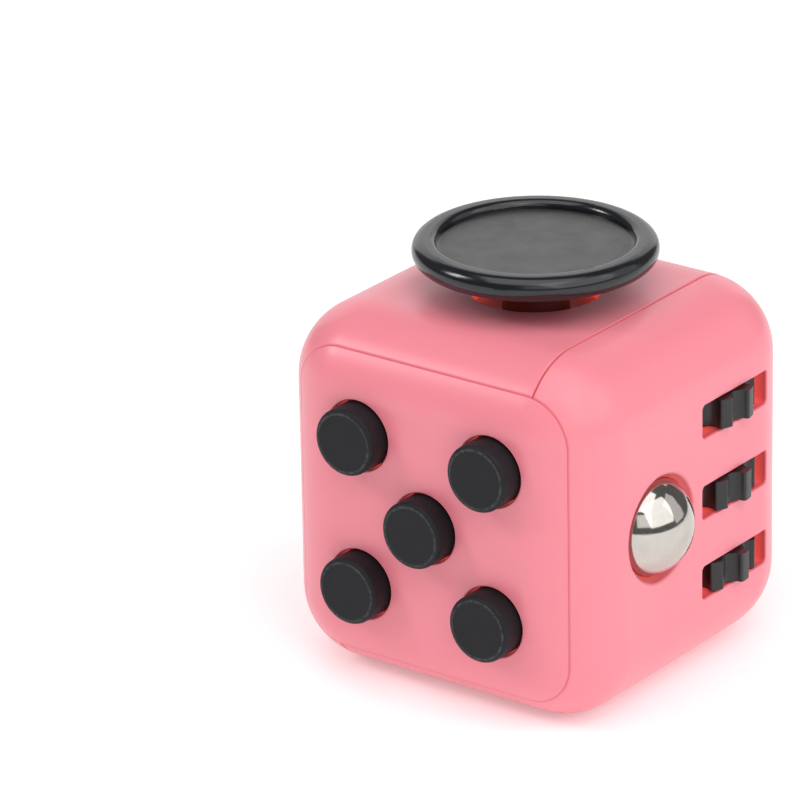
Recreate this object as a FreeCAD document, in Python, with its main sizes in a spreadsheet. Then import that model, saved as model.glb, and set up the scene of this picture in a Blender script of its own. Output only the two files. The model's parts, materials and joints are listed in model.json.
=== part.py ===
# Fidget cube: a hand-sized cube with something to play with on each of its six faces.
#
# Frame: +Z up, origin at the middle of the flat bottom face.
#   -Y  click face: five push buttons         +Y  spin face: a dial
#   +X  roll face: three gears and a ball     -X  flip face: a rocker
#   +Z  glide face: a disc on a sliding stem  -Z  breathe face: a thumb recess
# The housing is two L-shaped shells, one turned half round to the other, and two square lids.
import FreeCAD, Part
import math
import os
import re
import Sketcher
from FreeCAD import Rotation, Vector

# Driving sizes in millimetres and degrees: name, value, what it is.
SIZES = [
    ("cube_side", 33.0, "outside of the cube, each way"),
    ("edge_round", 6.8, "rounding of the cube's edges and corners"),
    ("wall", 2.0, "thickness of the housing"),
    ("lid_depth", 1.48, "from a lid's face to the seam behind it"),
    ("seam_offset", 10.28, "from the middle to the seams between the two shells"),
    ("seam_gap", 0.04, "gap between the two shells"),
    ("seam_bevel", 0.14, "bevel on every sharp outside edge of the housing"),
    ("rim_width", 4.6, "from a lid's face edge to the opening behind it"),
    ("opening_round", 2.2, "corner rounding of that opening"),
    ("lid_fit", 0.05, "gap round a lid's plug"),
    ("tab_width", 4.0, "width of a lid's snap tab"),
    ("tab_depth", 0.9, "thickness of a snap tab"),
    ("tab_lead", 0.11, "from the barb to the end of its snap tab"),
    ("barb_height", 0.35, "how far a snap tab's barb stands out"),
    ("barb_length", 0.6, "length of the barb"),
    ("barb_gap", 0.185, "gap between the barb and the housing it hooks behind"),
    ("tongue_depth", 1.0, "thickness of a tongue behind a shell seam"),
    ("tongue_length", 3.2, "length of a tongue along the seam"),
    ("tongue_lap", 1.6, "how far a tongue reaches under the other shell"),
    ("tongue_root", 1.2, "width of a tongue's root beside the seam"),
    ("tongue_place", 10.0, "from the middle to the middle of a tongue"),
    ("tongue_bite", 0.5, "how far a tongue's root reaches into its shell"),
    ("tongue_fit", 0.08, "gap between a tongue and the other shell"),
    ("room_gap", 0.08, "gap between an inner piece and the rounded inside of the housing"),
    ("seat_gap", 0.2, "gap between an inner piece and the flat wall in front of it"),
    ("overrun", 1.0, "how far a cutting tool passes a surface"),
    ("fit", 0.03, "radial gap of a running or screwed fit"),
    ("screw_radius", 0.6, "shank of every screw"),
    ("head_radius", 1.15, "head of every screw"),
    ("head_depth", 0.75, "height of every screw's head"),
    ("recess_radius", 0.55, "hexagon recess in a screw's head"),
    ("recess_depth", 0.45, "depth of that recess"),
    ("post_radius", 1.4, "screw posts"),
    ("button_pitch", 6.87, "from the middle to an outer button, each way"),
    ("button_radius", 2.99, "cap of a button"),
    ("button_fit", 0.15, "gap round a button's cap"),
    ("button_rise", 2.04, "how far a cap stands out"),
    ("button_round", 0.4, "rounding of a cap's edge"),
    ("flange_radius", 3.75, "flange that keeps a button in"),
    ("flange_depth", 0.7, "thickness of that flange"),
    ("flange_gap", 0.04, "gap between the flange and the lid"),
    ("stem_radius", 1.2, "stem under a button"),
    ("stem_length", 0.75, "length of the stem"),
    ("switch_depth", 0.9, "height of a snap dome or silent pad"),
    ("dome_radius", 2.3, "snap dome"),
    ("dome_skin", 0.15, "thickness of a snap dome"),
    ("pad_radius", 2.0, "silent pad"),
    ("board_depth", 1.0, "thickness of the click board"),
    ("board_margin", 3.0, "board beyond the middle of an outer button"),
    ("board_round", 1.5, "corner rounding of the board"),
    ("board_post", 8.3, "from the middle to each screw post of the board"),
    ("slot_pitch", 7.45, "from one gear slot to the next"),
    ("slot_end_gap", 0.065, "gap between a gear's tip circle and the end of its slot"),
    ("slot_side_gap", 0.175, "gap beside a gear in its slot"),
    ("slot_round", 0.35, "corner rounding of a gear slot"),
    ("gear_place", 5.99, "from the middle to the gears' axle, sideways"),
    ("gear_inset", 4.35, "from the roll face in to the gears' axle"),
    ("gear_tip", 5.3, "tip radius of a gear"),
    ("gear_depth", 2.6, "thickness of a gear"),
    ("scallop_radius", 1.0, "scallop between two teeth"),
    ("gear_round", 0.22, "rounding of a tooth's corners"),
    ("gear_teeth", 10, "teeth on each gear"),
    ("turn_upper", -4.8, "how far the upper gear is turned"),
    ("turn_middle", -10.0, "how far the middle gear is turned"),
    ("turn_lower", -14.9, "how far the lower gear is turned"),
    ("axle_radius", 1.0, "the gears' axle"),
    ("axle_length", 22.6, "length of the gears' axle"),
    ("cradle_width", 5.6, "width of the gears' cradle"),
    ("cradle_depth", 1.2, "thickness of the cradle's back"),
    ("cradle_gap", 0.45, "gap between the gears and the cradle's back"),
    ("arm_gap", 0.22, "gap between a gear and a cradle arm"),
    ("end_arm", 1.75, "thickness of the cradle's end arms"),
    ("cradle_hole", 2.09, "from the axle to the cradle's screws, sideways"),
    ("leaf_depth", 0.22, "thickness of a leaf spring"),
    ("leaf_length", 4.8, "length of the gear's leaf spring"),
    ("leaf_width", 2.0, "width of a leaf spring"),
    ("gear_hump", 0.6, "hump on the gear's leaf spring"),
    ("ball_radius", 4.5, "the ball"),
    ("ball_place", 5.18, "from the middle to the ball, sideways"),
    ("ball_inset", 2.0, "from the roll face in to the ball's centre"),
    ("mouth_radius", 4.83, "outer edge of the ball's hole"),
    ("lip_depth", 0.6, "from the roll face to the lip that keeps the ball"),
    ("lip_radius", 4.36, "lip of the ball's hole"),
    ("ball_fit", 0.05, "gap round the ball in its seat"),
    ("cup_radius", 4.9, "outside of the ball's cup"),
    ("cup_front", 1.0, "from the ball's centre in to the cup's edge"),
    ("cup_length", 4.7, "length of the ball's cup"),
    ("cup_dimple_radius", 2.0, "dimple in the back of the ball's cup"),
    ("cup_dimple_depth", 0.5, "depth of that dimple"),
    ("barrel_wall", 0.6, "wall of the ball's barrel"),
    ("barrel_back", 1.2, "back of the ball's barrel"),
    ("spring_room", 2.2, "length of the ball's spring"),
    ("lug_place", 7.0, "from the ball to each lug of its barrel"),
    ("lug_depth", 1.1, "thickness of a lug"),
    ("wire_radius", 0.2, "wire of a coil spring"),
    ("coil_runs", 12, "short straight runs in each turn of a coil spring"),
    ("ball_coil", 2.6, "radius of the ball's spring"),
    ("ball_turns", 3.5, "turns of the ball's spring"),
    ("disc_radius", 10.57, "outside of the glide disc"),
    ("disc_gap", 2.5, "from the glide face to the disc"),
    ("disc_depth", 1.5, "thickness of the disc inside its rim"),
    ("rim_rise", 2.2, "height of the disc's rim"),
    ("rim_inner", 8.4, "inside of the disc's rim"),
    ("rim_round", 1.05, "rounding of the outside of the disc's rim"),
    ("rim_inner_round", 0.65, "rounding of the inside of the disc's rim"),
    ("glide_stem", 2.9, "stem of the glide disc"),
    ("glide_hole", 5.7, "opening round that stem"),
    ("glide_travel", 1.9, "how far the disc slides, each way"),
    ("saucer_radius", 8.6, "saucer under the glide face"),
    ("saucer_depth", 0.9, "thickness of the saucer"),
    ("saucer_gap", 0.1, "gap between the saucer and the shell above it"),
    ("slide_gap", 0.2, "gap between the sliding plates"),
    ("carriage_half", 8.0, "half width of the glide carriage"),
    ("carriage_depth", 1.2, "thickness of the glide carriage"),
    ("carriage_hole", 4.2, "hole through the glide carriage"),
    ("key_place", 6.2, "from the middle to each sliding key"),
    ("key_half", 0.6, "half width of a sliding key"),
    ("key_reach", 2.5, "half length of a sliding key"),
    ("key_depth", 0.7, "depth of a sliding key"),
    ("key_fit", 0.06, "gap beside a sliding key"),
    ("key_margin", 0.2, "room past the end of a key's travel"),
    ("tray_depth", 1.1, "thickness of the glide tray"),
    ("tray_half", 9.2, "half length of the glide tray"),
    ("tray_post_x", 8.6, "from the middle to a tray post, across"),
    ("tray_post_y", 11.2, "from the middle to a tray post, along"),
    ("tray_lug", 1.6, "radius of the tray's lugs and posts"),
    ("well_radius", 4.1, "inside of the spring well in the tray"),
    ("well_wall", 0.6, "wall of the spring well"),
    ("well_depth", 3.0, "depth of the spring well"),
    ("glide_coil", 2.3, "radius of the centring spring at its top"),
    ("glide_growth", 0.3, "growth of the centring spring in each turn"),
    ("glide_turns", 4, "turns of the centring spring"),
    ("flip_length", 15.2, "length of the rocker's opening"),
    ("flip_width", 7.0, "width of the rocker's opening"),
    ("flip_corner", 0.3, "corner rounding of that opening"),
    ("flip_inset", 2.9, "from the flip face in to the rocker's pin"),
    ("flip_fit", 0.2, "gap beside the rocker"),
    ("flip_arc", 7.55, "radius of the rocker's ends about its pin"),
    ("flip_peak", 3.32, "from the pin to the rocker's middle ridge"),
    ("flip_tilt", 10.0, "tilt of the rocker, each way"),
    ("flip_under", 0.2, "from the pin to the rocker's underside"),
    ("flip_round", 0.45, "rounding of the rocker's edges"),
    ("flip_boss", 1.7, "boss round the rocker's pin"),
    ("nose_reach", 3.8, "from the pin to the tip of the rocker's nose"),
    ("nose_half", 0.5, "half width of that tip"),
    ("pin_radius", 0.75, "the rocker's pin"),
    ("cheek_depth", 1.0, "thickness of a bracket cheek"),
    ("cheek_half", 3.0, "half height of a bracket cheek"),
    ("cheek_gap", 0.3, "gap between the rocker and a cheek"),
    ("bracket_back", 5.4, "from the pin to the bracket's back"),
    ("bracket_depth", 1.2, "thickness of the bracket's back"),
    ("bracket_half", 10.7, "half height of the bracket"),
    ("bracket_post", 9.2, "from the middle to each bracket post"),
    ("hump_radius", 0.8, "hump on a leaf spring"),
    ("flip_leaf_half", 5.5, "half length of the rocker's leaf spring"),
    ("dial_radius", 9.0, "the spin dial"),
    ("dial_gap", 0.1, "gap between the dial and its lid"),
    ("dial_rise", 2.04, "how far the dial stands out"),
    ("dial_round", 0.5, "rounding of the dial's edge"),
    ("dimple_place", 5.2, "from the dial's middle to its finger dimple"),
    ("dimple_radius", 3.9, "radius of the ball that shapes the dimple"),
    ("dimple_depth", 1.0, "depth of the finger dimple"),
    ("hub_radius", 2.5, "hub of the spin dial"),
    ("hub_fit", 0.08, "gap round that hub"),
    ("wheel_radius", 6.0, "click wheel behind the spin dial"),
    ("wheel_depth", 1.2, "thickness of the click wheel"),
    ("wheel_gap", 0.2, "gap between the click wheel and the lid"),
    ("wheel_notches", 12, "notches of the click wheel"),
    ("notch_radius", 0.6, "notch of the click wheel"),
    ("spin_leaf_half", 4.9, "half length of the click wheel's leaf"),
    ("clip_half", 0.6, "half width of a clip that holds that leaf"),
    ("thumb_long", 8.7, "half length of the ball that shapes the thumb recess"),
    ("thumb_wide", 6.5, "half width of that shape"),
    ("thumb_high", 2.5, "half height of that shape"),
    ("thumb_drop", 1.0, "how far its middle lies below the bottom face"),
    ("thumb_backing", 1.6, "extra thickness behind the thumb recess"),
]



def inside_drop(*reaches):
    """How far the housing's rounded inside curves in, this far out from the middle each way."""
    squares = ["max(0; %s - cavity + inner_round) ^ 2" % reach for reach in reaches]
    return "(inner_round - sqrt(inner_round ^ 2 - %s))" % " - ".join(squares)


# Lengths that follow from the sizes.
FORMULAS = {
    "half": "cube_side / 2",
    "cavity": "half - wall",
    "lid_plane": "half - lid_depth",
    "inner_round": "edge_round - wall",
    "opening_half": "half - rim_width",
    "plug_half": "opening_half - lid_fit",
    "barb_front": "cavity - %s - barb_gap" % inside_drop("plug_half + barb_height"),
    "barb_back": "barb_front - barb_length",
    "tab_end": "barb_back - tab_lead",
    "panel_half": "seam_offset - seam_gap / 2",
    "tongue_tip": "seam_offset + tongue_lap",
    "tongue_drop": "%s + tongue_fit" % inside_drop("tongue_tip", "tongue_place + tongue_length / 2"),
    "tongue_top": "ceiling - tongue_drop",
    "tongue_floor": "floor + tongue_drop",
    "pilot": "screw_radius + fit",
    "clear_hole": "screw_radius + 3 * fit",
    "drill": "cube_side / 2",
    "ceiling": "cube_side - wall",
    "floor": "wall",
    "flange_front": "cavity - flange_gap",
    "stem_tip": "flange_front - flange_depth - stem_length",
    "board_front": "stem_tip - switch_depth",
    "board_back": "board_front - board_depth",
    "board_half": "button_pitch + board_margin",
    "dome_crown": "dome_radius / 3",
    "gear_x": "half - gear_inset",
    "gear_depth_at_wall": "gear_inset - wall - %s" % inside_drop("gear_place + gear_tip"),
    "slot_half_length": "sqrt(gear_tip ^ 2 - gear_depth_at_wall ^ 2) + slot_end_gap",
    "slot_half_height": "gear_depth / 2 + slot_side_gap",
    "cradle_front": "gear_x - gear_tip - cradle_gap",
    "cradle_back": "cradle_front - cradle_depth",
    "arm_front": "cavity - seat_gap",
    "screw_depth": "half - lid_depth / 2",
    "pilot_length": "screw_depth - cavity + overrun",
    "ball_x": "half - ball_inset",
    "cup_edge": "ball_x - cup_front",
    "cup_back": "cup_edge - cup_length",
    "barrel_radius": "cup_radius + ball_fit + barrel_wall",
    "barrel_floor": "cup_back - spring_room",
    "lug_back": "arm_front - lug_depth",
    "disc_floor": "cube_side + disc_gap",
    "saucer_top": "ceiling - saucer_gap",
    "saucer_floor": "saucer_top - saucer_depth",
    "carriage_top": "saucer_floor - slide_gap",
    "carriage_floor": "carriage_top - carriage_depth",
    "tray_top": "carriage_floor - slide_gap / 2",
    "tray_floor": "tray_top - tray_depth",
    "well_floor": "tray_floor - well_depth",
    "key_room": "key_reach + glide_travel + key_margin",
    "pin_x": "half - flip_inset",
    "flip_half": "flip_width / 2 - flip_fit",
    "cheek_inner": "flip_half + cheek_gap",
    "cheek_outer": "cheek_inner + cheek_depth",
    "bracket_front": "pin_x - bracket_back",
    "bracket_rear": "bracket_front - bracket_depth",
    "dial_floor": "half + dial_gap",
    "dial_top": "half + dial_rise",
    "wheel_top": "cavity - wheel_gap",
    "wheel_floor": "wheel_top - wheel_depth",
    "leaf_height": "half + wheel_radius + notch_radius / 2",
}

VALUES = {name: value for name, value, meaning in SIZES}
TINY = 1e-4
HEXAGON = 6
SMOOTH = 0.98  # cosine of the angle under which two faces count as one smooth surface
ALONG_EDGE = (0.1, 0.5, 0.9)  # where an edge is tested, as shares of its length
AIMS = {
    "+x": Rotation(Vector(0, 1, 0), 90),
    "-x": Rotation(Vector(0, 1, 0), -90),
    "+y": Rotation(Vector(1, 0, 0), -90),
    "-y": Rotation(Vector(1, 0, 0), 90),
    "+z": Rotation(),
    "-z": Rotation(Vector(1, 0, 0), 180),
}

doc = FreeCAD.newDocument("fidget_cube")
pieces = {}


# ---------------------------------------------------------------- the sheet and its formulas


def fill_sheet():
    sheet = doc.addObject("Spreadsheet::Sheet", "sizes")
    for row, (name, value, meaning) in enumerate(SIZES, start=1):
        sheet.set("A%d" % row, name)
        sheet.set("B%d" % row, str(value))
        sheet.set("C%d" % row, meaning)
        sheet.setAlias("B%d" % row, name)
    doc.recompute()


def bound(formula):
    """The formula with its derived lengths written out and its sizes read from the sheet."""

    def swap(word):
        name = word.group()
        if name in FORMULAS:
            return "(" + bound(FORMULAS[name]) + ")"
        return "sizes." + name if name in VALUES else name

    return re.sub(r"[a-z]\w*", swap, formula)


def number(formula):
    """What a formula comes to, worked out by the document itself."""
    gauge = doc.getObject("gauge") or doc.addObject("App::FeaturePython", "gauge")
    if "reading" not in gauge.PropertiesList:
        gauge.addProperty("App::PropertyFloat", "reading")
    gauge.setExpression("reading", bound(formula))
    gauge.recompute()
    return gauge.reading


def bind(item, **formulas):
    for prop, formula in formulas.items():
        item.setExpression(prop, bound(formula))


def place(item, at, aim="+z"):
    """Point the item's own Z along aim and bind its origin to three formulas."""
    item.Placement = FreeCAD.Placement(Vector(), AIMS[aim])
    for axis, formula in zip("xyz", at):
        item.setExpression("Placement.Base." + axis, bound(formula))
    return item


# ---------------------------------------------------------------- shapes


def box(x, y, z):
    """A box between two formulas each way."""
    made = doc.addObject("Part::Box", "box")
    for prop, (low, high) in zip(("Length", "Width", "Height"), (x, y, z)):
        made.setExpression(prop, bound("(%s) - (%s)" % (high, low)))
    return place(made, (x[0], y[0], z[0]))


def rod(radius, length, at, aim="+z"):
    made = doc.addObject("Part::Cylinder", "rod")
    bind(made, Radius=radius, Height=length)
    return place(made, at, aim)


def ball_at(radius, at):
    made = doc.addObject("Part::Sphere", "ball_shape")
    bind(made, Radius=radius)
    return place(made, at)


def joined(shapes):
    if len(shapes) == 1:
        return shapes[0]
    made = doc.addObject("Part::MultiFuse", "joined")
    made.Shapes = shapes
    made.Refine = True
    return made


def cut(base, tools):
    made = doc.addObject("Part::Cut", "cut")
    made.Base = base
    made.Tool = joined(tools)
    return made


def shared(shapes):
    made = doc.addObject("Part::MultiCommon", "shared")
    made.Shapes = shapes
    return made


def group(shapes):
    """Separate solids kept in one piece, such as a set of screws."""
    made = doc.addObject("Part::Compound", "group")
    made.Links = shapes
    return made


def plane_sketch(body, role):
    """An empty sketch on one of the body's own planes."""
    sketch = body.newObject("Sketcher::SketchObject", "outline")
    plane = next(item for item in body.Origin.OriginFeatures if item.Role == role)
    sketch.AttachmentSupport = [(plane, "")]
    sketch.MapMode = "FlatFace"
    return sketch


def fix_point(sketch, shape, end, across, up):
    """Bind one point of a sketch to its two formulas, measured from the origin."""
    for kind, formula in (("DistanceX", across), ("DistanceY", up)):
        index = sketch.addConstraint(Sketcher.Constraint(kind, -1, 1, shape, end, 1.0))
        bind(sketch, **{"Constraints[%d]" % index: formula})


def add_outline(sketch, corners):
    """A closed outline through corners, each a pair of formulas."""
    count = len(corners)
    turn = 2 * math.pi / count
    ring = [Vector(math.cos(turn * i), math.sin(turn * i), 0) for i in range(count)]
    for i in range(count):
        sketch.addGeometry(Part.LineSegment(ring[i], ring[(i + 1) % count]), False)
    for i in range(count):
        sketch.addConstraint(Sketcher.Constraint("Coincident", i, 2, (i + 1) % count, 1))
    for i, (across, up) in enumerate(corners):
        fix_point(sketch, i, 1, across, up)


def add_circle(sketch, radius, across="0", up="0"):
    shape = sketch.addGeometry(Part.Circle(Vector(1, 1, 0), Vector(0, 0, 1), 1.0), False)
    fix_point(sketch, shape, 3, across, up)
    index = sketch.addConstraint(Sketcher.Constraint("Radius", shape, 1.0))
    bind(sketch, **{"Constraints[%d]" % index: radius})


def turned(corners, at=("0", "0", "0"), aim="+z"):
    """A body turned about its own Z from an outline of (radius, height) corners."""
    body = doc.addObject("PartDesign::Body", "turned")
    sketch = plane_sketch(body, "XZ_Plane")
    add_outline(sketch, corners)
    spin = body.newObject("PartDesign::Revolution", "spin")
    spin.Profile = sketch
    spin.ReferenceAxis = (sketch, ["V_Axis"])
    spin.Angle = 360
    return place(body, at, aim)


def extruded(corners, width, at=("0", "0", "0"), role="XZ_Plane"):
    """A body extruded both ways from an outline on one of its planes."""
    body = doc.addObject("PartDesign::Body", "extruded")
    sketch = plane_sketch(body, role)
    add_outline(sketch, corners)
    pad = body.newObject("PartDesign::Pad", "pad")
    pad.Profile = sketch
    pad.SideType = "Symmetric"
    bind(pad, Length=width)
    return place(body, at)


def coil(radius, height, turns, at, aim="+z", growth="0"):
    """A coil spring standing on its own origin, each turn a ring of short straight runs."""
    wire, runs = VALUES["wire_radius"], VALUES["coil_runs"]
    first, wider, climb = number(radius), number(growth), number(height) - 2 * wire
    last = round(number(turns) * runs)
    points = []
    for step in range(last + 1):
        reach = first + wider * step / runs
        angle = 2 * math.pi * step / runs
        points.append(Vector(reach * math.cos(angle), reach * math.sin(angle), wire + climb * step / last))
    section = Part.Wire([Part.makeCircle(wire, points[0], points[1] - points[0])])
    made = doc.addObject("Part::Feature", "coil")
    made.Shape = Part.makePolygon(points).makePipeShell([section], True, False, 1)
    return place(made, at, aim)


# ---------------------------------------------------------------- edge work


def edge_names(shape, choose):
    return ["Edge%d" % n for n, edge in enumerate(shape.Edges, start=1) if choose(edge)]


def dress(body, kind, prop, size, choose):
    """Add a Fillet or Chamfer to the body's chosen edges."""
    doc.recompute()
    base = body.Tip
    dressed = body.newObject("PartDesign::" + kind, kind.lower())
    dressed.Base = (base, edge_names(base.Shape, choose))
    bind(dressed, **{prop: size})
    return body


def along(edge, way):
    """True for a straight edge that runs along the given direction."""
    straight = edge.Curve.TypeId == "Part::GeomLine"
    return straight and edge.tangentAt(edge.FirstParameter).cross(way).Length < TINY


def soft_box(x, y, z, radius, way=None):
    """A box with rounded edges: all of them, or those that run along one way."""
    body = doc.addObject("PartDesign::Body", "soft_box")
    block = body.newObject("PartDesign::AdditiveBox", "block")
    for prop, (low, high) in zip(("Length", "Width", "Height"), (x, y, z)):
        block.setExpression(prop, bound("(%s) - (%s)" % (high, low)))
    place(body, (x[0], y[0], z[0]))
    return dress(body, "Fillet", "Radius", radius, lambda edge: way is None or along(edge, way))


def ring_edge(radius_formula, height_formula):
    """Chooses the circle of this radius at this height in a turned body."""
    radius, height = number(radius_formula), number(height_formula)

    def choose(edge):
        if edge.Curve.TypeId != "Part::GeomCircle":
            return False
        return abs(edge.Curve.Radius - radius) < TINY and abs(edge.CenterOfMass.z - height) < TINY

    return choose


def is_outside(edge, skin):
    ends = edge.ParameterRange
    points = (edge.valueAt(ends[0] + (ends[1] - ends[0]) * share) for share in ALONG_EDGE)
    return all(skin.distToShape(Part.Vertex(point))[0] < TINY for point in points)


def is_sharp(edge, shape):
    """True where the edge's two faces meet at an angle."""
    middle = edge.valueAt(sum(edge.ParameterRange) / 2)
    normals = []
    for face in shape.ancestorsOfType(edge, Part.Face):
        u, v = face.Surface.parameter(middle)
        normals.append(face.normalAt(u, v))
    return len(normals) == 2 and abs(normals[0].dot(normals[1])) < SMOOTH


def eased(piece, block):
    """The piece with a bevel on every sharp edge that lies on the cube's outside."""
    doc.recompute()
    body = doc.addObject("PartDesign::Body", "eased")
    body.BaseFeature = piece
    doc.recompute()
    shape = body.Tip.Shape
    skin = block.Shape.Shells[0]

    def outside_corner(edge):
        return is_outside(edge, skin) and is_sharp(edge, shape)

    return dress(body, "Chamfer", "Size", "seam_bevel", outside_corner)


def keep(label, shape):
    """Name a finished sub-part."""
    shape.Label = label
    pieces[label] = shape
    return shape


# ---------------------------------------------------------------- screws


def screw(reach, at, aim):
    """A screw that points along aim, with the underside of its head at the given point."""
    shank = rod("screw_radius", reach, at, aim)
    seat = list(at)
    axis = "xyz".index(aim[1])
    seat[axis] = "%s %s head_depth" % (at[axis], "-" if aim[0] == "+" else "+")
    head = rod("head_radius", "head_depth", seat, aim)
    recess = doc.addObject("Part::Prism", "recess")
    recess.Polygon = HEXAGON
    bind(recess, Circumradius="recess_radius", Height="recess_depth")
    place(recess, seat, aim)
    return cut(joined([shank, head]), [recess])


# ---------------------------------------------------------------- the housing


def rounded_cube():
    return soft_box(("-half", "half"), ("-half", "half"), ("0", "cube_side"), "edge_round")


def inner_room():
    """The space inside the housing that its inner pieces keep to."""
    reach = ("-cavity + room_gap", "cavity - room_gap")
    return soft_box(reach, reach, ("floor + room_gap", "ceiling - room_gap"), "inner_round - room_gap")


def housing_ring(outer):
    """The hollow cube with its front and back openings."""
    inner = soft_box(("-cavity", "cavity"), ("-cavity", "cavity"), ("floor", "ceiling"), "inner_round")
    opening = soft_box(
        ("-opening_half", "opening_half"),
        ("-half - overrun", "half + overrun"),
        ("half - opening_half", "half + opening_half"),
        "opening_round",
        Vector(0, 1, 0),
    )
    return cut(outer, [inner, opening])


def lid(outer, sign, posts, holes):
    """A lid on the -Y (sign -) or +Y (sign +) face with its plug and four snap tabs."""

    def between(low, high):
        """The stretch of Y between two distances from the middle."""
        return (low, high) if sign == "+" else ("-(%s)" % high, "-(%s)" % low)

    plate = shared([
        outer,
        box(
            ("-half - overrun", "half + overrun"),
            between("lid_plane", "half + overrun"),
            ("-overrun", "cube_side + overrun"),
        ),
    ])
    plug = soft_box(
        ("-plug_half", "plug_half"),
        between("cavity", "lid_plane"),
        ("half - plug_half", "half + plug_half"),
        "opening_round",
        Vector(0, 1, 0),
    )
    wide = ("-tab_width / 2", "tab_width / 2")
    spans = [
        (("plug_half - tab_depth", "plug_half"), between("tab_end", "cavity")),
        (("plug_half - tab_depth", "plug_half + barb_height"), between("barb_back", "barb_front")),
    ]
    tabs = []
    for (low, high), depth in spans:
        for out in ((low, high), ("-(%s)" % high, "-(%s)" % low)):
            tabs.append(box(out, depth, tuple("half + (%s)" % end for end in wide)))
            tabs.append(box(wide, depth, tuple("half + (%s)" % end for end in out)))
    return cut(joined([plate, plug] + tabs + posts), holes)


def button_places():
    """The five buttons in a quincunx: name, across, up."""
    spots = [("centre", "0", "half")]
    for tall, up in (("upper", "half + button_pitch"), ("lower", "half - button_pitch")):
        for side, across in (("left", "-button_pitch"), ("right", "button_pitch")):
            spots.append(("%s_%s" % (tall, side), across, up))
    return spots


def board_posts():
    return [("0", "half + board_post"), ("0", "half - board_post"), ("-board_post", "half")]


def click_panel(outer):
    holes = [
        rod("button_radius + button_fit", "wall + 2 * overrun", (across, "-half - overrun", up), "+y")
        for name, across, up in button_places()
    ]
    reach = "cavity - board_front"
    posts = [rod("post_radius", reach, (across, "-cavity", up), "+y") for across, up in board_posts()]
    pilots = [rod("pilot", reach, (across, "-cavity", up), "+y") for across, up in board_posts()]
    keep("click_panel", eased(lid(outer, "-", posts, holes + pilots), outer))


def spin_panel(outer):
    bearing = rod("hub_radius + hub_fit", "wall + 2 * overrun", ("0", "half + overrun", "half"), "-y")
    leaf_slot = box(
        ("-spin_leaf_half - fit", "spin_leaf_half + fit"),
        ("wheel_floor - overrun", "wheel_top"),
        ("leaf_height - fit", "leaf_height + leaf_depth + fit"),
    )
    clips = [
        box(
            ("%s - clip_half" % middle, "%s + clip_half" % middle),
            ("wheel_floor", "cavity"),
            ("leaf_height - clip_half", "leaf_height + leaf_depth + clip_half"),
        )
        for middle in ("spin_leaf_half", "-spin_leaf_half")
    ]
    keep("spin_panel", eased(lid(outer, "+", clips, [bearing, leaf_slot]), outer))


def tongues(side, level, root):
    """Two tongues that reach from one shell under the other, across the seam on that side.

    level and root are stretches of Z: the tongue's own and its root's."""
    inner = "panel_half - tongue_root"
    shapes = []
    for middle in ("tongue_place", "-tongue_place"):
        y = ("%s - tongue_length / 2" % middle, "%s + tongue_length / 2" % middle)
        for outer_end, z in (("tongue_tip", level), ("panel_half", root)):
            x = (inner, outer_end) if side == "+" else ("-(%s)" % outer_end, "-(%s)" % inner)
            shapes.append(box(x, y, z))
    return shapes


def shell_region(side):
    """One side wall of the ring with the cover beside it: the top for -X, the bottom for +X."""
    wall_x = ("seam_offset + seam_gap / 2", "half + overrun")
    cover_x = ("-panel_half", "half + overrun")
    whole = ("-overrun", "cube_side + overrun")
    cover_z = ("-overrun", "half")
    if side == "-":
        wall_x, cover_x = (("-(%s)" % high, "-(%s)" % low) for low, high in (wall_x, cover_x))
        cover_z = ("half", "cube_side + overrun")
    y = ("-lid_plane", "lid_plane")
    return joined([box(wall_x, y, whole), box(cover_x, y, cover_z)])


def tray_posts():
    return [(x, y) for x in ("tray_post_x", "-tray_post_x") for y in ("tray_post_y", "-tray_post_y")]


def gear_levels():
    return [("upper", "half + slot_pitch"), ("middle", "half"), ("lower", "half - slot_pitch")]


def arm_levels():
    return ["half + slot_pitch / 2", "half - slot_pitch / 2"]


def thumb_shape():
    """The flattened ball whose lower part is the thumb recess."""
    shape = doc.addObject("Part::Ellipsoid", "thumb")
    bind(shape, Radius1="thumb_high", Radius2="thumb_long", Radius3="thumb_wide")
    shape.Angle1 = -90
    shape.Angle2 = 90
    shape.Angle3 = 360
    return place(shape, ("0", "0", "-thumb_drop"))


def lower_shell(outer, ring):
    """The roll side and the bottom, in one L."""
    tools = [
        soft_box(
            ("cavity - overrun", "half + overrun"),
            ("gear_place - slot_half_length", "gear_place + slot_half_length"),
            ("%s - slot_half_height" % level, "%s + slot_half_height" % level),
            "slot_round",
            Vector(1, 0, 0),
        )
        for name, level in gear_levels()
    ]
    # The ball's hole narrows to a lip that keeps the ball in, and widens again behind it.
    mouth = [
        ("0", "-overrun"),
        ("mouth_radius", "-overrun"),
        ("mouth_radius", "ball_inset - wall"),
        ("lip_radius", "ball_inset - lip_depth"),
        ("mouth_radius", "ball_inset"),
        ("mouth_radius", "ball_inset + overrun"),
        ("0", "ball_inset + overrun"),
    ]
    tools.append(turned(mouth, ("ball_x", "-ball_place", "half"), "+x"))
    spots = [("gear_place - cradle_hole", level) for level in arm_levels()]
    spots += [("-ball_place", "half %s lug_place" % side) for side in ("+", "-")]
    tools += [rod("pilot", "pilot_length", ("cavity - overrun", y, level), "+x") for y, level in spots]
    backing = box(
        ("-thumb_long - fit", "thumb_long + fit"),
        ("-thumb_wide - fit", "thumb_wide + fit"),
        ("wall / 2", "floor + thumb_backing"),
    )
    top = "tongue_floor + tongue_depth"
    lips = tongues("-", ("tongue_floor", top), ("floor - tongue_bite", top))
    slab = shared([ring, shell_region("+")])
    keep("lower_shell", eased(cut(joined([slab, backing] + lips), tools + [thumb_shape()]), outer))


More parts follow.
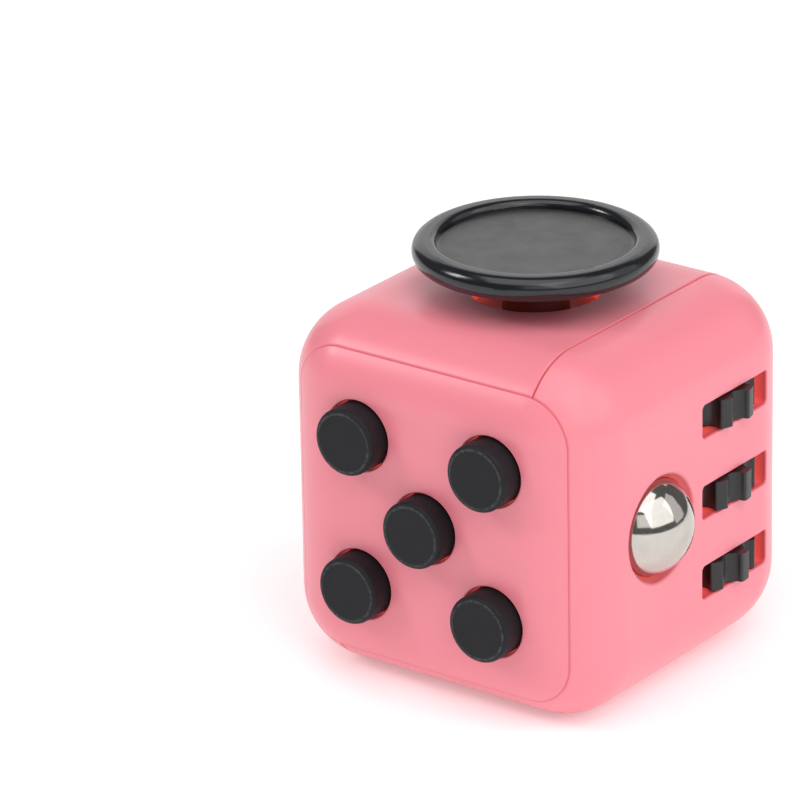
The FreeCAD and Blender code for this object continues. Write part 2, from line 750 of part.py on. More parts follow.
def upper_shell(outer, ring):
    """The flip side and the top, in one L."""
    reach = "cavity - bracket_front"
    levels = ["half %s bracket_post" % side for side in ("+", "-")]
    posts = [rod("post_radius", reach, ("-cavity", "0", level), "+x") for level in levels]
    posts += [rod("tray_lug", "ceiling - tray_top", (x, y, "tray_top")) for x, y in tray_posts()]
    pilots = [rod("pilot", reach, ("-cavity", "0", level), "+x") for level in levels]
    pilots += [rod("pilot", "ceiling - tray_floor", (x, y, "tray_floor")) for x, y in tray_posts()]
    opening = soft_box(
        ("-half - overrun", "-cavity + overrun"),
        ("-flip_width / 2", "flip_width / 2"),
        ("half - flip_length / 2", "half + flip_length / 2"),
        "flip_corner",
        Vector(1, 0, 0),
    )
    hole = rod("glide_hole", "wall + 2 * overrun", ("0", "0", "ceiling - overrun"))
    bottom = "tongue_top - tongue_depth"
    lips = tongues("+", (bottom, "tongue_top"), (bottom, "ceiling + tongue_bite"))
    slab = shared([ring, shell_region("-")])
    keep("upper_shell", eased(cut(joined([slab] + lips + posts), [opening, hole] + pilots), outer))


# ---------------------------------------------------------------- the click face


def buttons():
    """Caps with a flange that keeps them in and a stem that presses the switch, turned about -Y."""
    corners = [
        ("0", "stem_tip"),
        ("stem_radius", "stem_tip"),
        ("stem_radius", "flange_front - flange_depth"),
        ("flange_radius", "flange_front - flange_depth"),
        ("flange_radius", "flange_front"),
        ("button_radius", "flange_front"),
        ("button_radius", "half + button_rise"),
        ("0", "half + button_rise"),
    ]
    for name, across, up in button_places():
        body = turned(corners, (across, "0", up), "-y")
        dress(body, "Fillet", "Radius", "button_round", ring_edge("button_radius", "half + button_rise"))
        keep("click_button_" + name, body)


def switches():
    """A snap dome under the buttons on one diagonal, a silent pad under the other two."""
    dome = [
        ("0", "switch_depth - dome_skin"),
        ("dome_crown", "switch_depth - dome_skin"),
        ("dome_radius - dome_skin", "0"),
        ("dome_radius", "0"),
        ("dome_radius", "dome_skin"),
        ("dome_crown + dome_skin", "switch_depth"),
        ("0", "switch_depth"),
    ]
    pad = [
        ("0", "0"),
        ("pad_radius", "0"),
        ("pad_radius", "switch_depth / 2"),
        ("pad_radius / 2", "switch_depth - fit"),
        ("0", "switch_depth - fit"),
    ]
    for name, across, up in button_places():
        silent = name in ("upper_right", "lower_left")
        shape = turned(pad if silent else dome, (across, "-board_front", up), "-y")
        keep(("silent_pad_" if silent else "click_dome_") + name, shape)


def click_board():
    plate = soft_box(
        ("-board_half", "board_half"),
        ("-board_front", "-board_back"),
        ("half - board_half", "half + board_half"),
        "board_round",
        Vector(0, 1, 0),
    )
    holes = [
        rod("clear_hole", "board_depth + 2 * overrun", (across, "-board_front - overrun", up), "+y")
        for across, up in board_posts()
    ]
    keep("click_board", cut(plate, holes))
    reach = "board_depth + post_radius"
    keep("click_screws", group([screw(reach, (x, "-board_back", up), "-y") for x, up in board_posts()]))


# ---------------------------------------------------------------- the roll face


def gear(name, level):
    """A scalloped wheel on the common axle."""
    body = doc.addObject("PartDesign::Body", "gear")
    rim = plane_sketch(body, "XY_Plane")
    add_circle(rim, "gear_tip")
    add_circle(rim, "axle_radius + fit")
    pad = body.newObject("PartDesign::Pad", "pad")
    pad.Profile = rim
    pad.SideType = "Symmetric"
    bind(pad, Length="gear_depth")
    notch = plane_sketch(body, "XY_Plane")
    add_circle(notch, "scallop_radius", "gear_tip")
    pocket = body.newObject("PartDesign::Pocket", "scallop")
    pocket.Profile = notch
    pocket.Type = "ThroughAll"
    pocket.SideType = "Symmetric"
    doc.recompute()
    pattern = body.newObject("PartDesign::PolarPattern", "teeth")
    pattern.Originals = [pocket]
    pattern.Axis = (notch, ["N_Axis"])
    pattern.Angle = 360
    bind(pattern, Occurrences="gear_teeth")
    body.Tip = pattern
    tip = VALUES["gear_tip"]

    def tooth_corner(edge):
        upright = along(edge, Vector(0, 0, 1))
        return upright and abs(math.hypot(edge.CenterOfMass.x, edge.CenterOfMass.y) - tip) < TINY

    dress(body, "Fillet", "Radius", "gear_round", tooth_corner)
    place(body, ("gear_x", "gear_place", level))
    body.setExpression("Placement.Rotation.Angle", bound("turn_%s" % name))
    keep("gear_" + name, body)


def gear_cradle(room):
    y = ("gear_place - cradle_width / 2", "gear_place + cradle_width / 2")
    end = "slot_pitch + gear_depth / 2 + arm_gap"
    reach = "%s + end_arm" % end
    shapes = [box(("cradle_back", "cradle_front"), y, ("half - (%s)" % reach, "half + %s" % reach))]
    spans = [("half + %s" % end, "half + %s" % reach), ("half - (%s)" % reach, "half - (%s)" % end)]
    for level in arm_levels():
        tall = "slot_pitch / 2 - gear_depth / 2 - arm_gap"
        spans.append(("%s - (%s)" % (level, tall), "%s + %s" % (level, tall)))
    shapes += [box(("cradle_back", "arm_front"), y, span) for span in spans]
    shaft = rod("axle_radius + fit", "cube_side", ("gear_x", "gear_place", "0"))
    side = "gear_place - cradle_hole"
    tools = [
        rod("clear_hole", "drill", ("cradle_back - overrun", side, level), "+x") for level in arm_levels()
    ]
    keep("gear_cradle", cut(shared([joined(shapes), room]), tools + [shaft]))
    keep("gear_axle", rod("axle_radius", "axle_length", ("gear_x", "gear_place", "half - axle_length / 2")))
    reach = "screw_depth - cradle_back - fit"
    screws = [screw(reach, ("cradle_back", side, level), "+x") for level in arm_levels()]
    keep("cradle_screws", group(screws))


def gear_click_leaf():
    """A flat spring on the cradle's back whose hump rests in a scallop of the middle gear."""
    strip = box(
        ("cradle_front", "cradle_front + leaf_depth"),
        ("gear_place - leaf_length / 2", "gear_place + leaf_length / 2"),
        ("half - leaf_width / 2", "half + leaf_width / 2"),
    )
    scallop = "gear_place + gear_tip * sin((180 + turn_middle) * 1 deg)"
    at = ("cradle_front + leaf_depth", scallop, "half - leaf_width / 2")
    hump = rod("gear_hump", "leaf_width", at)
    proud = box(
        ("cradle_front", "gear_x"),
        ("%s - 2 * gear_hump" % scallop, "%s + 2 * gear_hump" % scallop),
        ("half - leaf_width", "half + leaf_width"),
    )
    keep("gear_click_leaf", joined([strip, shared([hump, proud])]))


def ball_parts(room):
    keep("ball", ball_at("ball_radius", ("ball_x", "-ball_place", "half")))
    block = rod("cup_radius", "cup_length", ("cup_back", "-ball_place", "half"), "+x")
    seat = ball_at("ball_radius + ball_fit", ("ball_x", "-ball_place", "half"))
    dimple = rod("cup_dimple_radius", "cup_dimple_depth", ("cup_back", "-ball_place", "half"), "+x")
    keep("ball_cup", cut(block, [seat, dimple]))
    foot = ("barrel_floor + fit", "-ball_place", "half")
    keep("ball_spring", coil("ball_coil", "spring_room - 2 * fit", "ball_turns", foot, "+x"))
    back = "barrel_floor - barrel_back"
    barrel = rod("barrel_radius", "arm_front - (%s)" % back, (back, "-ball_place", "half"), "+x")
    bore = rod("cup_radius + ball_fit", "drill", ("barrel_floor", "-ball_place", "half"), "+x")
    lugs, holes, screws = [], [], []
    for side in ("+", "-"):
        level = "half %s lug_place" % side
        low = "half + barrel_radius - barrel_wall / 2" if side == "+" else "%s - post_radius" % level
        high = "%s + post_radius" % level if side == "+" else "half - barrel_radius + barrel_wall / 2"
        lugs.append(
            box(
                ("lug_back", "arm_front"),
                ("-ball_place - post_radius", "-ball_place + post_radius"),
                (low, high),
            )
        )
        holes.append(rod("clear_hole", "drill", ("lug_back - overrun", "-ball_place", level), "+x"))
        screws.append(screw("screw_depth - lug_back - fit", ("lug_back", "-ball_place", level), "+x"))
    keep("ball_barrel", cut(shared([joined([barrel] + lugs), room]), [bore] + holes))
    keep("ball_screws", group(screws))


# ---------------------------------------------------------------- the glide face


def glide_disc():
    """A dished disc with a thick round rim, on a stem that passes the upper shell."""
    rim_top = "disc_floor + rim_rise"
    corners = [
        ("0", "saucer_top"),
        ("glide_stem", "saucer_top"),
        ("glide_stem", "disc_floor"),
        ("disc_radius", "disc_floor"),
        ("disc_radius", rim_top),
        ("rim_inner", rim_top),
        ("rim_inner", "disc_floor + disc_depth"),
        ("0", "disc_floor + disc_depth"),
    ]
    body = turned(corners)
    rings = [ring_edge("disc_radius", "disc_floor"), ring_edge("disc_radius", rim_top)]
    dress(body, "Fillet", "Radius", "rim_round", lambda edge: any(ring(edge) for ring in rings))
    dress(body, "Fillet", "Radius", "rim_inner_round", ring_edge("rim_inner", rim_top))
    pilot = rod("pilot", "disc_gap + wall", ("0", "0", "saucer_top"))
    keep("glide_disc", cut(body, [pilot]))


def keys(middles, half_x, half_y, z):
    """Sliding keys, or the slots for them, at two places each side of the middle."""
    shapes = []
    for x, y in middles:
        shapes.append(
            box(
                ("%s - (%s)" % (x, half_x), "%s + %s" % (x, half_x)),
                ("%s - (%s)" % (y, half_y), "%s + %s" % (y, half_y)),
                z,
            )
        )
    return shapes


def glide_slides():
    """The saucer slides along Y on the carriage, which slides along X on the tray."""
    across = [("key_place", "0"), ("-key_place", "0")]
    along_y = [("0", "key_place"), ("0", "-key_place")]
    slot_half = "key_half + key_fit"
    plate = rod("saucer_radius", "saucer_depth", ("0", "0", "saucer_floor"))
    saucer_keys = keys(across, "key_half", "key_reach", ("saucer_floor - key_depth", "saucer_floor"))
    hole = rod("clear_hole", "wall", ("0", "0", "saucer_floor - overrun"))
    keep("glide_saucer", cut(joined([plate] + saucer_keys), [hole]))
    keep("glide_screw", screw("saucer_depth + disc_gap", ("0", "0", "saucer_floor"), "+z"))

    block = box(
        ("-carriage_half", "carriage_half"),
        ("-carriage_half", "carriage_half"),
        ("carriage_floor", "carriage_top"),
    )
    lower_keys = keys(along_y, "key_reach", "key_half", ("carriage_floor - key_depth", "carriage_floor"))
    through = ("carriage_floor - overrun", "carriage_top + overrun")
    slots = keys(across, slot_half, "key_room", through)
    middle = rod("carriage_hole", "drill", ("0", "0", "carriage_floor - overrun"))
    keep("glide_carriage", cut(joined([block] + lower_keys), slots + [middle]))


def glide_tray():
    level = ("tray_floor", "tray_top")
    shapes = [box(("-tray_post_x", "tray_post_x"), ("-tray_half", "tray_half"), level)]
    for side in ("tray_post_x", "-tray_post_x"):
        x = ("%s - tray_lug" % side, "%s + tray_lug" % side)
        shapes.append(box(x, ("-tray_post_y", "tray_post_y"), level))
    shapes += [rod("tray_lug", "tray_depth", (x, y, "tray_floor")) for x, y in tray_posts()]
    bottom = "well_floor - well_wall"
    shapes.append(rod("well_radius + well_wall", "tray_top - (%s)" % bottom, ("0", "0", bottom)))
    slots = keys(
        [("0", "key_place"), ("0", "-key_place")],
        "key_room",
        "key_half + key_fit",
        ("tray_top - key_depth - slide_gap / 2", "tray_top + overrun"),
    )
    well = rod("well_radius", "drill", ("0", "0", "well_floor"))
    holes = [rod("clear_hole", "wall + overrun", (x, y, "tray_floor - overrun")) for x, y in tray_posts()]
    over_tray = ("tongue_top - tongue_depth - tongue_fit", "ceiling")
    keep("glide_tray", cut(joined(shapes), slots + [well] + holes + tongues("+", over_tray, over_tray)))
    reach = "tray_depth + post_radius"
    screws = [screw(reach, (x, y, "tray_floor"), "+z") for x, y in tray_posts()]
    keep("tray_screws", group(screws))
    height = "saucer_floor - well_floor - 2 * fit"
    spring = coil("glide_coil", height, "glide_turns", ("0", "0", "saucer_floor - fit"), "-z", "glide_growth")
    keep("glide_spring", spring)


# ---------------------------------------------------------------- the flip face


def flip_rocker():
    """The rocker about its pin: x points inward from the flip face, so its top is at -X."""
    slope = "tan(flip_tilt * 1 deg)"
    outline = [
        ("-flip_peak", "0"),
        ("-flip_peak - flip_arc * %s" % slope, "flip_arc"),
        ("-flip_under", "flip_arc"),
        ("-flip_under", "-flip_arc"),
        ("-flip_peak - flip_arc * %s" % slope, "-flip_arc"),
    ]
    width = "2 * flip_half"
    slab = extruded(outline, width)
    ends = rod("flip_arc", width, ("0", "-flip_half", "0"), "+y")
    nose = extruded(
        [
            ("0", "-flip_boss"),
            ("0", "flip_boss"),
            ("nose_reach - nose_half", "nose_half"),
            ("nose_reach", "0"),
            ("nose_reach - nose_half", "-nose_half"),
        ],
        width,
    )
    boss = rod("flip_boss", width, ("0", "-flip_half", "0"), "+y")
    whole = joined([shared([slab, ends]), nose, boss])
    doc.recompute()
    body = doc.addObject("PartDesign::Body", "rocker")
    body.BaseFeature = whole
    doc.recompute()
    shape = body.Tip.Shape
    top_side = -number("flip_under + flip_peak / 2")

    def top_edge(edge):
        return edge.BoundBox.XMax < top_side and is_sharp(edge, shape)

    dress(body, "Fillet", "Radius", "flip_round", top_edge)
    bore = rod("pin_radius + fit", "cube_side", ("0", "-half", "0"), "+y")
    rocker = cut(body, [bore])
    place(rocker, ("-pin_x", "0", "half"))
    # The sheet sets the angle; a first turn only says which way the axis points.
    rocker.Placement.Rotation = Rotation(Vector(0, 1, 0), 1)
    rocker.setExpression("Placement.Rotation.Angle", bound("flip_tilt * 1 deg"))
    keep("flip_rocker", rocker)


def flip_frame():
    keep("flip_pin", rod("pin_radius", "2 * cheek_outer", ("-pin_x", "-cheek_outer", "half"), "+y"))
    back = box(
        ("-bracket_front", "-bracket_rear"),
        ("-cheek_outer", "cheek_outer"),
        ("half - bracket_half", "half + bracket_half"),
    )
    cheeks = []
    for y in (("cheek_inner", "cheek_outer"), ("-cheek_outer", "-cheek_inner")):
        cheeks.append(box(("-arm_front", "-bracket_rear"), y, ("half - cheek_half", "half + cheek_half")))
    holes = [rod("pin_radius + fit", "cube_side", ("-pin_x", "-half", "half"), "+y")]
    screws = []
    for side in ("+", "-"):
        level = "half %s bracket_post" % side
        holes.append(rod("clear_hole", "drill", ("-bracket_rear + overrun", "0", level), "-x"))
        screws.append(screw("bracket_depth + post_radius", ("-bracket_rear", "0", level), "-x"))
    keep("flip_bracket", cut(joined([back] + cheeks), holes))
    keep("flip_screws", group(screws))
    strip = box(
        ("-bracket_front - leaf_depth", "-bracket_front"),
        ("-leaf_width / 2", "leaf_width / 2"),
        ("half - flip_leaf_half", "half + flip_leaf_half"),
    )
    hump = rod("hump_radius", "leaf_width", ("-bracket_front", "-leaf_width / 2", "half"), "+y")
    proud = box(
        ("-bracket_front - hump_radius - overrun", "-bracket_front"),
        ("-leaf_width", "leaf_width"),
        ("half - hump_radius - overrun", "half + hump_radius + overrun"),
    )
    keep("flip_leaf", joined([strip, shared([hump, proud])]))


# ---------------------------------------------------------------- the spin face


def spin_parts():
    corners = [
        ("0", "wheel_top"),
        ("hub_radius", "wheel_top"),
        ("hub_radius", "dial_floor"),
        ("dial_radius", "dial_floor"),
        ("dial_radius", "dial_top"),
        ("0", "dial_top"),
    ]
    body = turned(corners, ("0", "0", "half"), "+y")
    dress(body, "Fillet", "Radius", "dial_round", ring_edge("dial_radius", "dial_top"))
    dimple = ball_at(
        "dimple_radius", ("0", "dial_top + dimple_radius - dimple_depth", "half + dimple_place")
    )
    pilot = rod("pilot", "dial_top - wheel_top - dimple_depth", ("0", "wheel_top", "half"), "+y")
    keep("spin_dial", cut(body, [dimple, pilot]))

    wheel = rod("wheel_radius", "wheel_depth", ("0", "wheel_floor", "half"), "+y")
    count = VALUES["wheel_notches"]
    tools = [rod("clear_hole", "wheel_depth + 2 * overrun", ("0", "wheel_floor - overrun", "half"), "+y")]
    for notch in range(count):
        angle = "(%d * 360 deg / wheel_notches)" % notch
        at = (
            "wheel_radius * sin%s" % angle,
            "wheel_floor - overrun",
            "half + wheel_radius * cos%s" % angle,
        )
        tools.append(rod("notch_radius", "wheel_depth + 2 * overrun", at, "+y"))
    keep("spin_wheel", cut(wheel, tools))
    keep("spin_screw", screw("wheel_depth + wall", ("0", "wheel_floor", "half"), "+y"))

    strip = box(
        ("-spin_leaf_half", "spin_leaf_half"),
        ("wheel_floor + fit", "wheel_top - fit"),
        ("leaf_height", "leaf_height + leaf_depth"),
    )
    hump = rod("notch_radius / 2", "wheel_depth - 2 * fit", ("0", "wheel_floor + fit", "leaf_height"), "+y")
    keep("spin_leaf", joined([strip, hump]))


# ---------------------------------------------------------------- the whole cube


def check_and_write():
    """Refuse a failed feature or a bad solid before anything is written."""
    doc.recompute()
    for item in doc.Objects:
        if {"Invalid", "Error"} & set(item.State):
            raise RuntimeError("%s (%s) failed: %s" % (item.Name, item.Label, item.State))
    for label, piece in pieces.items():
        if piece.Shape.isNull() or not piece.Shape.isValid():
            raise RuntimeError("%s has no sound shape" % label)
    os.makedirs("parts", exist_ok=True)
    for label, piece in pieces.items():
        piece.Shape.exportStep("parts/%s.step" % label)
        print("%s: %d solid(s), %.1f mm3" % (label, len(piece.Shape.Solids), piece.Shape.Volume))


def build():
    fill_sheet()
    outer = rounded_cube()
    room = inner_room()
    ring = housing_ring(outer)
    click_panel(outer)
    spin_panel(outer)
    lower_shell(outer, ring)
    upper_shell(outer, ring)
    buttons()
    switches()
    click_board()
    for name, level in gear_levels():
        gear(name, level)
    gear_cradle(room)
    gear_click_leaf()
    ball_parts(room)
    glide_disc()
    glide_slides()
    glide_tray()
    flip_rocker()
    flip_frame()
    spin_parts()
    check_and_write()


build()
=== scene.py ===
"""Looks of the fidget cube: camera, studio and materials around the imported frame."""

import json
import math

import bpy
from mathutils import Matrix, Vector


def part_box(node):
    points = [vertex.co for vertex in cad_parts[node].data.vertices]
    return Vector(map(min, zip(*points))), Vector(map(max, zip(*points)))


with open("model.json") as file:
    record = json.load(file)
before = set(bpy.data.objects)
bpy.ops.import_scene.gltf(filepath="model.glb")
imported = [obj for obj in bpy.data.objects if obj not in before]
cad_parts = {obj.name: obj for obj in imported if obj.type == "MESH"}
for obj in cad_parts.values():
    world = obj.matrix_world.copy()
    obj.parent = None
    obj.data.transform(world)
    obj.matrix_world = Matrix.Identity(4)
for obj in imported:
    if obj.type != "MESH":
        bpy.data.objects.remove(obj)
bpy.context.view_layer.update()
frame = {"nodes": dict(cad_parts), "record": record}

MM = 0.001
NODES = frame["nodes"]
BLACK = (0.0, 0.0, 0.0)


def middle_of(node):
    low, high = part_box(node)
    return (Vector(low) + Vector(high)) / 2


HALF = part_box("lower_shell")[1][0]
MIDDLE = Vector((0, 0, HALF))
BUTTON_PITCH = middle_of("click_button_upper_right").x
WORN_RING = 2.62 * MM
EDGE_ROUND = 6.8 * MM
DISC_HOLLOW = 8.1 * MM
DISC_HOLLOW_EDGE = 0.3 * MM


# ------------------------------------------------------------------ camera

CAMERA_AZIMUTH = math.radians(37.05)
CAMERA_HEIGHT = math.radians(22.59)
CAMERA_ROLL = math.radians(-1.10)
CAMERA_DISTANCE = 512.7 * MM
CAMERA_AIM = (-11.42 * MM, 22.74 * MM)
CAMERA_LENS = 268.6
CAMERA_SENSOR = 36
CAMERA_SHIFT = (-0.00504, 0.00101)
CAMERA_CLIP = 0.01


def make_camera():
    """A long lens from the front right, a little above the cube."""
    azimuth, height = CAMERA_AZIMUTH, CAMERA_HEIGHT
    aside_part = math.sin(azimuth) * math.cos(height)
    toward_part = -math.cos(azimuth) * math.cos(height)
    back = Vector((aside_part, toward_part, math.sin(height)))
    level = Vector((math.cos(azimuth), math.sin(azimuth), 0))
    upright = back.cross(level)
    right = level * math.cos(CAMERA_ROLL) + upright * math.sin(CAMERA_ROLL)
    up = back.cross(right)
    aside, above = CAMERA_AIM
    place = level * aside + Vector((0, 0, above)) + back * CAMERA_DISTANCE
    data = bpy.data.cameras.new("camera")
    data.lens = CAMERA_LENS
    data.sensor_width = CAMERA_SENSOR
    data.shift_x, data.shift_y = CAMERA_SHIFT
    data.clip_start = CAMERA_CLIP
    camera = bpy.data.objects.new("camera", data)
    bpy.context.scene.collection.objects.link(camera)
    turn = Matrix((right, up, back)).transposed()
    camera.matrix_world = Matrix.Translation(place) @ turn.to_4x4()
    bpy.context.scene.camera = camera


# ------------------------------------------------------------------ studio

WORLD_STRENGTH = 0.15
FLOOR_REACH = 3.0
FLOOR_GLOW = 0.235

# Name, place and size in metres, power in watts.
LAMPS = (
    ("top_lamp", (0.06, -0.16, 0.60), (0.60, 0.60), 1.95),
    ("right_lamp", (0.46, -0.06, 0.38), (0.66, 0.58), 1.85),
    ("front_lamp", (-0.42, -0.34, 0.40), (0.15, 0.22), 1.05),
    ("camera_fill", (0.36, -0.42, 0.30), (0.34, 0.30), 0.30),
    ("back_panel", (-0.50, 0.66, 0.36), (1.20, 0.70), 2.6),
    ("far_panel", (0.52, 0.42, 0.34), (0.44, 0.60), 0.55),
)


def area_light(name, place, size, watts):
    """A rectangular soft box that faces the middle of the cube."""
    data = bpy.data.lights.new(name, "AREA")
    data.shape = "RECTANGLE"
    data.size, data.size_y = size
    data.energy = watts
    light = bpy.data.objects.new(name, data)
    bpy.context.scene.collection.objects.link(light)
    place = Vector(place)
    turn = (place - MIDDLE).to_track_quat("Z", "Y").to_matrix()
    light.matrix_world = Matrix.Translation(place) @ turn.to_4x4()


def make_studio():
    """Soft boxes above, right and front left, a fill by the camera, panels behind."""
    world = bpy.data.worlds.new("studio")
    bpy.context.scene.world = world
    world.use_nodes = True
    background = world.node_tree.nodes["Background"]
    background.inputs["Color"].default_value = (1, 1, 1, 1)
    background.inputs["Strength"].default_value = WORLD_STRENGTH
    for lamp in LAMPS:
        area_light(*lamp)


def make_floor():
    floor = bpy.data.meshes.new("floor")
    reach = FLOOR_REACH
    corners = [(-reach, -reach, 0), (reach, -reach, 0), (reach, reach, 0), (-reach, reach, 0)]
    floor.from_pydata(corners, [], [(0, 1, 2, 3)])
    item = bpy.data.objects.new("floor", floor)
    bpy.context.scene.collection.objects.link(item)
    item.data.materials.append(paper_white())


# ------------------------------------------------------------------ materials

MIX_COLOURS = (6, 7)
MIX_COLOUR_RESULT = 2
MIX_NUMBERS = (2, 3)
MIX_NUMBER_RESULT = 0


class Recipe:
    """A node material under construction."""

    def __init__(self, name):
        self.material = bpy.data.materials.new(name)
        self.material.use_nodes = True
        self.tree = self.material.node_tree
        self.shader = self.tree.nodes["Principled BSDF"]

    def node(self, kind, **settings):
        made = self.tree.nodes.new(kind)
        for key, value in settings.items():
            setattr(made, key, value)
        return made

    def link(self, source, target):
        self.tree.links.new(source, target)

    def set(self, **values):
        for key, value in values.items():
            self.shader.inputs[key.replace("_", " ")].default_value = value

    def place(self):
        """Object coordinates: they stay with the piece when it moves."""
        if not hasattr(self, "_place"):
            self._place = self.node("ShaderNodeTexCoord").outputs["Object"]
        return self._place

    def noise(self, per_mm, detail=3.0, rough=0.5):
        made = self.node("ShaderNodeTexNoise")
        made.inputs["Scale"].default_value = per_mm / MM
        made.inputs["Detail"].default_value = detail
        made.inputs["Roughness"].default_value = rough
        self.link(self.place(), made.inputs["Vector"])
        return made.outputs["Fac"]

    def spread(self, source, low, high, start=0.3, end=0.7):
        """Map the range start to end onto low to high."""
        made = self.node("ShaderNodeMapRange")
        for key, value in zip(("From Min", "From Max", "To Min", "To Max"), (start, end, low, high)):
            made.inputs[key].default_value = value
        self.link(source, made.inputs["Value"])
        return made.outputs["Result"]

    def mask(self, source, start, end):
        """0 below start, 1 above end."""
        return self.spread(source, 0.0, 1.0, start, end)

    def math(self, operation, *values):
        made = self.node("ShaderNodeMath", operation=operation)
        for socket, value in zip(made.inputs, values):
            if isinstance(value, (int, float)):
                socket.default_value = value
            else:
                self.link(value, socket)
        return made.outputs[0]

    def vector(self, operation, first, second=None):
        """A vector node whose second input, if it has one, is fixed."""
        made = self.node("ShaderNodeVectorMath", operation=operation)
        self.link(first, made.inputs[0])
        if second is not None:
            made.inputs[1].default_value = second
        return made

    def size_of(self, operation, first, second=None):
        return self.vector(operation, first, second).outputs["Value"]

    def mix(self, factor, first, second):
        made = self.node("ShaderNodeMix", data_type="RGBA")
        self.link(factor, made.inputs["Factor"])
        for key, colour in zip(MIX_COLOURS, (first, second)):
            if isinstance(colour, tuple):
                made.inputs[key].default_value = (*colour, 1)
            else:
                self.link(colour, made.inputs[key])
        return made.outputs[MIX_COLOUR_RESULT]

    def mix_numbers(self, factor, first, second):
        made = self.node("ShaderNodeMix", data_type="FLOAT")
        self.link(factor, made.inputs["Factor"])
        for key, value in zip(MIX_NUMBERS, (first, second)):
            self.link(value, made.inputs[key])
        return made.outputs[MIX_NUMBER_RESULT]

    def bump(self, height, strength, distance):
        made = self.node("ShaderNodeBump")
        made.inputs["Strength"].default_value = strength
        made.inputs["Distance"].default_value = distance
        self.link(height, made.inputs["Height"])
        self.link(made.outputs["Normal"], self.shader.inputs["Normal"])

    def rough(self, source):
        self.link(source, self.shader.inputs["Roughness"])

    def colour(self, source):
        self.link(source, self.shader.inputs["Base Color"])


def paper_white():
    recipe = Recipe("white_sweep")
    grain = recipe.noise(per_mm=0.02)
    recipe.colour(recipe.mix(grain, (0.93, 0.93, 0.93), (0.95, 0.95, 0.95)))
    recipe.set(Roughness=0.9, Emission_Color=(1, 1, 1, 1), Emission_Strength=FLOOR_GLOW)
    return recipe.material


def folded_place(recipe):
    """Distance from the cube's middle along each axis, the same on both sides."""
    centred = recipe.vector("SUBTRACT", recipe.place(), MIDDLE)
    return recipe.vector("ABSOLUTE", centred.outputs[0]).outputs[0]


def depth_below_skin(recipe):
    """How far a point lies below the rounded outside of the cube, in metres."""
    inset = recipe.vector("SUBTRACT", folded_place(recipe), (HALF - EDGE_ROUND,) * 3)
    clipped = recipe.vector("MAXIMUM", inset.outputs[0], (0, 0, 0))
    return recipe.math("SUBTRACT", EDGE_ROUND, recipe.size_of("LENGTH", clipped.outputs[0]))


PINK = ((0.87, 0.248, 0.305), (0.89, 0.258, 0.315))
# Painted shade: the seam grooves just below the skin are coloured a darker red.
SEAM_PAINTED_SHADE = (0.72, 0.11, 0.13)
# Painted glow: walls deeper below the skin are coloured redder and given emission, standing in for light
# passing through the translucent plastic.
WALL_PAINTED_GLOW_RED = (0.90, 0.13, 0.11)
DEEP_PAINTED_GLOW_RED = (0.90, 0.03, 0.02)
WALL_PAINTED_GLOW = (0.95, 0.09, 0.07)
DEEP_PAINTED_GLOW = (0.95, 0.02, 0.012)
SEAM_SHADE_DEPTHS = (0.02 * MM, 0.11 * MM)
WALL_GLOW_DEPTHS = (0.15 * MM, 1.5 * MM)
DEEP_GLOW_DEPTHS = (1.3 * MM, 2.8 * MM)


def pink_plastic():
    """Smooth moulded plastic with painted shade in the seam grooves and a painted red glow on walls below
    the skin, redder the deeper they lie, standing in for light passing through the translucent plastic.
    """
    recipe = Recipe("pink_plastic")
    cloud = recipe.noise(per_mm=0.05, detail=2)
    surface = recipe.mix(cloud, *PINK)
    depth = depth_below_skin(recipe)
    # Painted shade darkens the seam grooves just below the skin.
    seam_shade = recipe.mask(depth, *SEAM_SHADE_DEPTHS)
    # Painted glow: redder colour on walls deeper below the skin.
    wall_glow_mask = recipe.mask(depth, *WALL_GLOW_DEPTHS)
    deep_glow_mask = recipe.mask(depth, *DEEP_GLOW_DEPTHS)
    seam_shaded = recipe.mix(seam_shade, surface, SEAM_PAINTED_SHADE)
    glow_walled = recipe.mix(wall_glow_mask, seam_shaded, WALL_PAINTED_GLOW_RED)
    recipe.colour(recipe.mix(deep_glow_mask, glow_walled, DEEP_PAINTED_GLOW_RED))
    # Painted glow: emission on the walls below the skin, standing in for light through the plastic.
    painted_wall_glow = recipe.mix(wall_glow_mask, BLACK, WALL_PAINTED_GLOW)
    recipe.link(recipe.mix(deep_glow_mask, painted_wall_glow, DEEP_PAINTED_GLOW), recipe.shader.inputs["Emission Color"])
    recipe.set(Emission_Strength=0.6, IOR=1.48)
    recipe.rough(recipe.spread(recipe.noise(per_mm=0.3, detail=1), 0.27, 0.31, start=0.0, end=1.0))
    recipe.bump(recipe.noise(per_mm=5, detail=1), strength=0.02, distance=0.01 * MM)
    return recipe.material


def distance_from_button(recipe):
    """How far a point lies from the middle line of the nearest button."""
    flat = recipe.vector("MULTIPLY", folded_place(recipe), (1, 0, 1)).outputs[0]
    centre = recipe.size_of("DISTANCE", flat, (0, 0, 0))
    corner = recipe.size_of("DISTANCE", flat, (BUTTON_PITCH, 0, BUTTON_PITCH))
    return recipe.math("MINIMUM", centre, corner)


RUBBER = ((0.005, 0.0055, 0.0075), (0.010, 0.011, 0.014))
RUBBER_DUST = (0.10, 0.105, 0.11)
RUBBER_WEAR = (0.075, 0.078, 0.082)
RING_WIDTHS = (0.03 * MM, 0.16 * MM)


